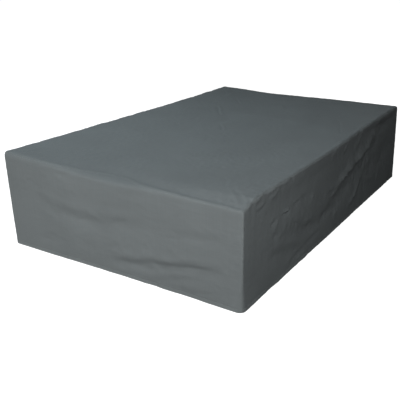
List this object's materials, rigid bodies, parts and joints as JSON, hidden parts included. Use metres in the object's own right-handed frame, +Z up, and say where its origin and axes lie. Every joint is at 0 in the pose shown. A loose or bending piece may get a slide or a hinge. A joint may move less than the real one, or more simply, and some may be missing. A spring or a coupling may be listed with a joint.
{
  "type": "fitted patio lounge set cover",
  "caption": "Hollow box cover of woven cloth, open below, with a top panel and a skirt that hangs to the floor in soft folds.",
  "frame": {"origin": "middle of the cover's footprint, at the level of its hem on the floor", "axes": "+X to the right along the short front wall, +Y to the back along the long side, +Z up; the front wall faces -Y"},
  "size_m": [1.9976, 3.1713, 0.727],
  "materials": {
    "cover_cloth": "matt woven polyester, dark grey"
  },
  "bodies": {
    "root": {"top_panel": "cover_cloth", "skirt": "cover_cloth"}
  },
  "joints": []
}
